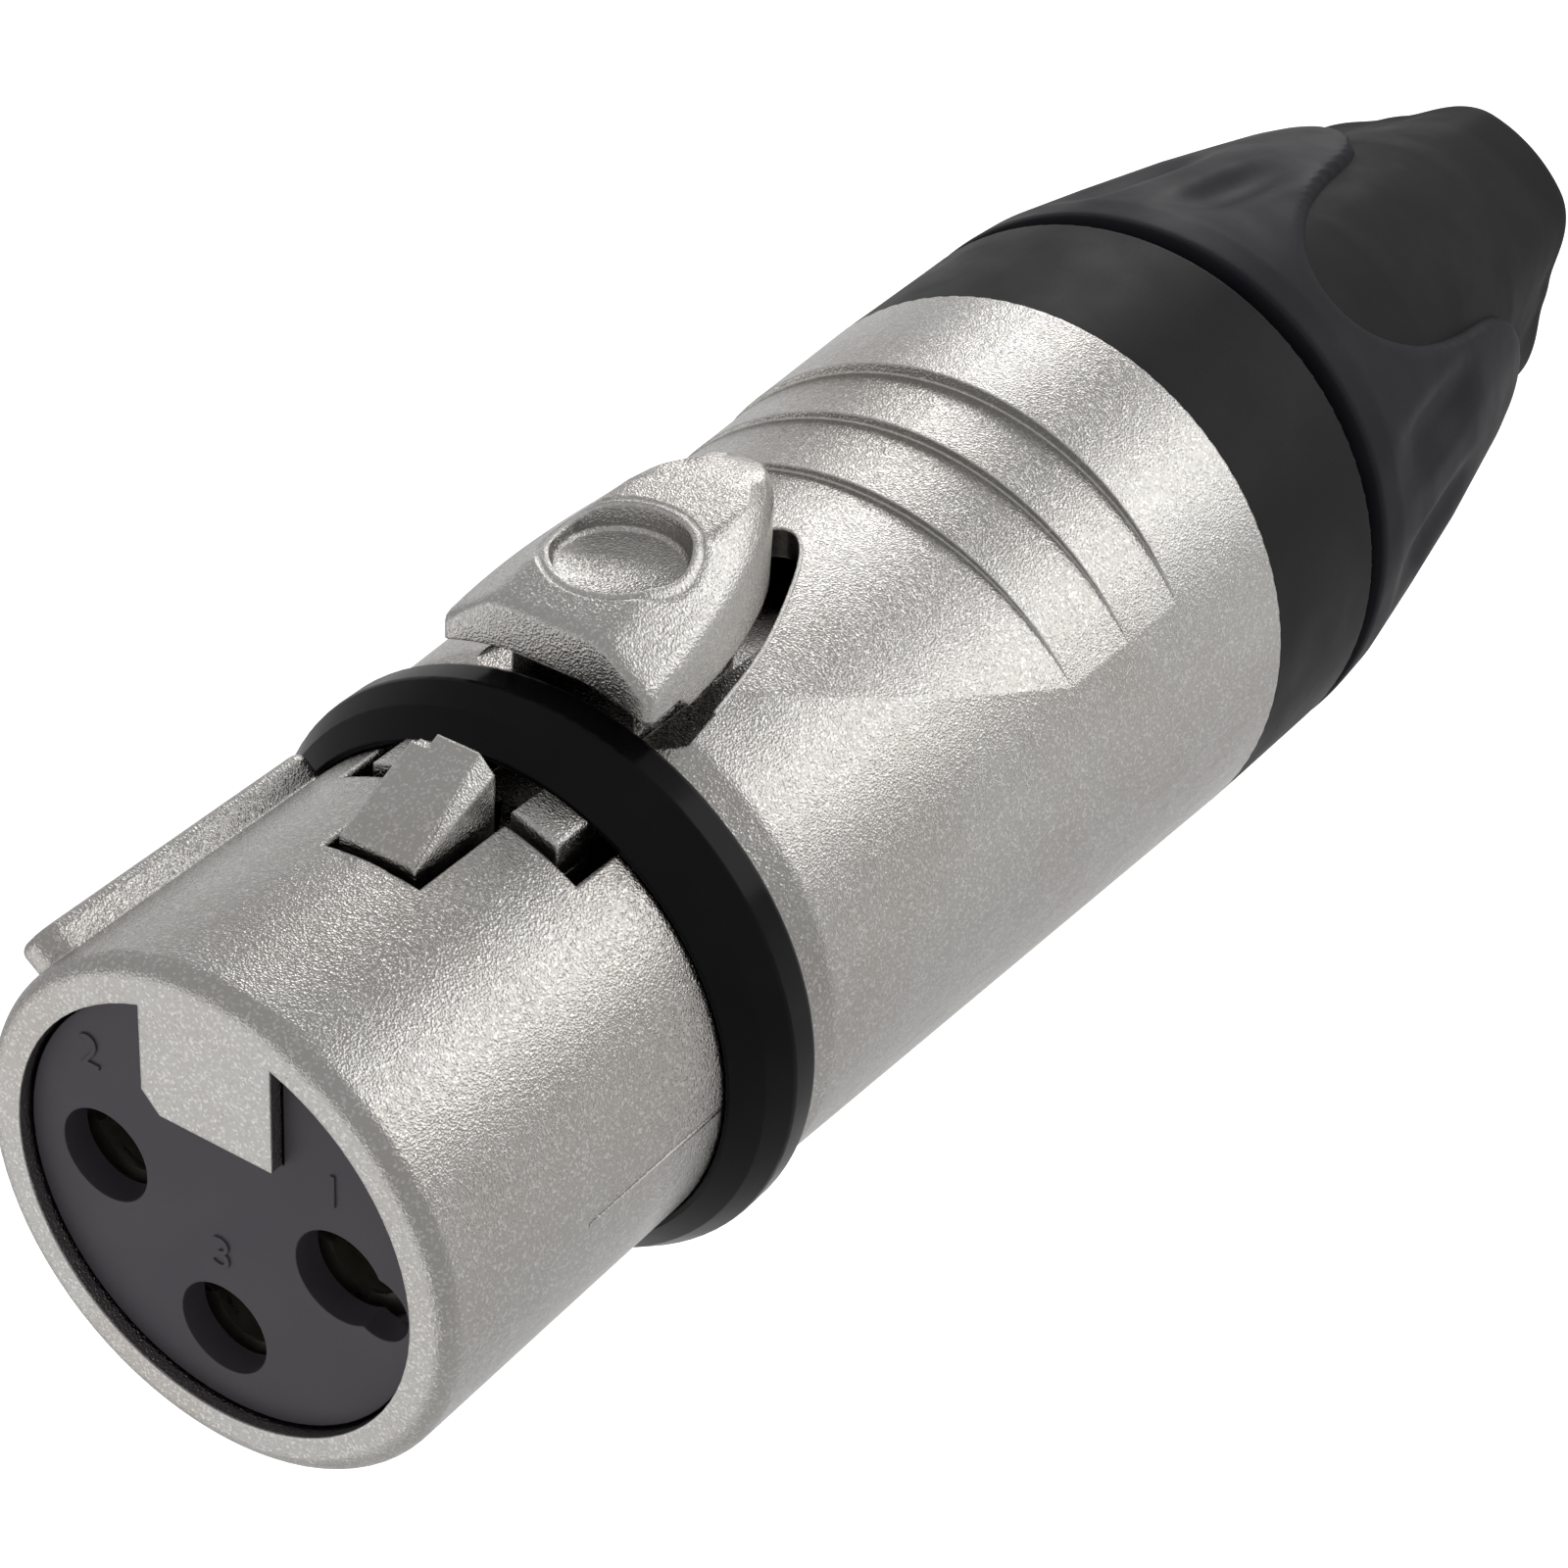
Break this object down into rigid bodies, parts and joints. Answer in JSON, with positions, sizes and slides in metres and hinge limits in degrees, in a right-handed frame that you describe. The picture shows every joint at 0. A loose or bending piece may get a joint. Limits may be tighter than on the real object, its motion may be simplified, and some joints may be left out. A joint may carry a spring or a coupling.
{
  "type": "female xlr cable connector",
  "caption": "Three-pole female audio cable connector with a keyed metal barrel, a sprung thumb latch, a screwed bushing with a cable clamp and a tapered boot.",
  "frame": {"origin": "centre of the mating face, on the barrel's axis", "axes": "+X from the mating face to the cable end, +Z towards the latch, +Y completes the right-handed set"},
  "size_m": [0.0719, 0.02, 0.0225],
  "materials": {
    "satin_nickel": "satin nickel plating with a fine sparkling grain, on a zinc die casting",
    "latch_nickel": "satin nickel plating, a little brighter, on a zinc die casting",
    "gloss_black": "glossy black plastic",
    "insert_grey": "matt dark grey moulded plastic",
    "contact_metal": "silver-plated turned brass",
    "spring_metal": "thin bright spring steel",
    "collar_black": "matt black plastic",
    "clamp_plastic": "matt black moulded plastic",
    "bushing_black": "matt bluish-black moulded plastic",
    "boot_rubber": "matt black soft rubber"
  },
  "bodies": {
    "shell": {"housing": "satin_nickel", "front_ring": "gloss_black", "insert_front": "insert_grey", "insert_back": "insert_grey", "contact_1": "contact_metal", "contact_2": "contact_metal", "contact_3": "contact_metal", "earth_clip": "spring_metal", "latch_spring": "spring_metal", "collar_ring": "collar_black"},
    "latch": {"latch": "latch_nickel"},
    "clamp": {"chuck": "clamp_plastic"},
    "bushing": {"bushing": "bushing_black", "boot": "boot_rubber"}
  },
  "joints": [
    {"name": "latch_press", "type": "hinge", "parent": "shell", "child": "latch", "pos_m": [0.028, 0, 0.0046], "axis": [0, -1, 0], "range_deg": [0, 3.9], "stiffness_Nm_per_rad": 0.1, "springref_deg": -5.73, "deforming": ["latch_spring"]},
    {"name": "clamp_slide", "type": "slide", "parent": "shell", "child": "clamp", "axis": [1, 0, 0], "range_m": [0, 0.006]},
    {"name": "bushing_turn", "type": "hinge", "parent": "clamp", "child": "bushing", "pos_m": [0.0475, 0, 0], "axis": [1, 0, 0], "range_deg": [0, 1440]}
  ],
  "couplings": [
    {"joint": "clamp_slide", "follows": "bushing_turn", "m_per_rad": 0.00023873}
  ]
}
